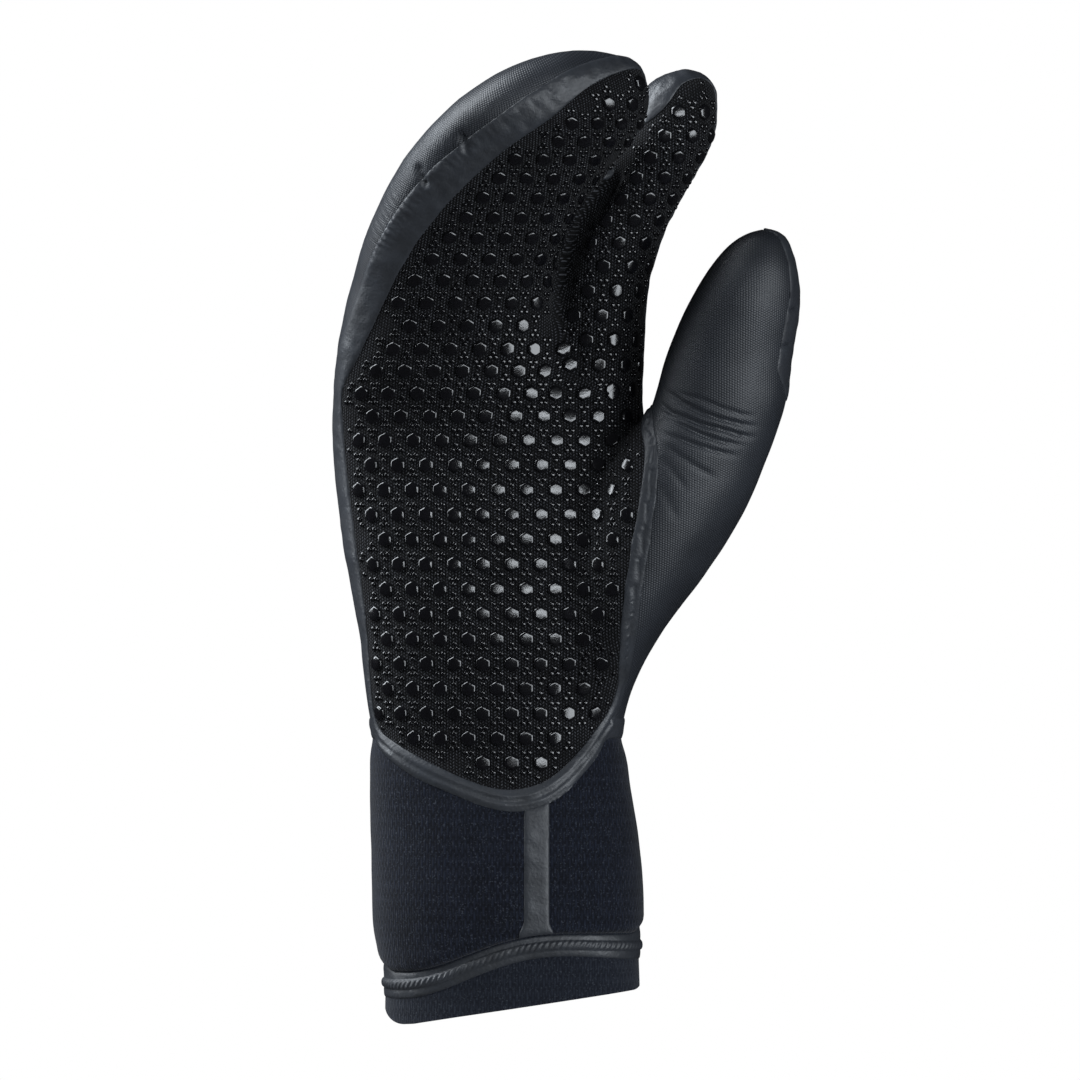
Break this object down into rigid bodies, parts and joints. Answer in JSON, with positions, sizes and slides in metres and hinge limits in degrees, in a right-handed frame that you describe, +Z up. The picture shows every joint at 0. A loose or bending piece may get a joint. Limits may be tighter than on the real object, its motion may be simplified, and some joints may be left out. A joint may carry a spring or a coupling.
{
  "type": "lobster claw mitt",
  "caption": "Right-hand padded neoprene lobster claw mitt with a three-finger pouch, a separate index finger, a thumb and a gauntlet cuff, open at the wrist.",
  "frame": {"origin": "middle of the wrist opening, where a wrist goes in", "axes": "+Z up from the wrist opening towards the finger tips, the palm faces -Y, the thumb is towards +X"},
  "size_m": [0.1415, 0.0917, 0.291],
  "materials": {
    "skin_rubber": "satin rubber skin with a fine embossed mesh",
    "palm_knit": "matte knitted nylon with raised glossy rubber grip pads",
    "seam_tape": "matte smooth liquid rubber tape",
    "gauntlet_cloth": "matte brushed nylon jersey",
    "grip_rubber": "glossy moulded rubber",
    "hem_cloth": "matte nylon jersey"
  },
  "bodies": {
    "root": {"back_shell": "skin_rubber", "palm_panel": "palm_knit", "thumb_shell": "skin_rubber", "palm_seam": "seam_tape", "thumb_seam": "seam_tape", "gauntlet": "gauntlet_cloth", "gauntlet_seam": "seam_tape", "hem_seam": "seam_tape", "hem_band": "hem_cloth"}
  },
  "joints": []
}
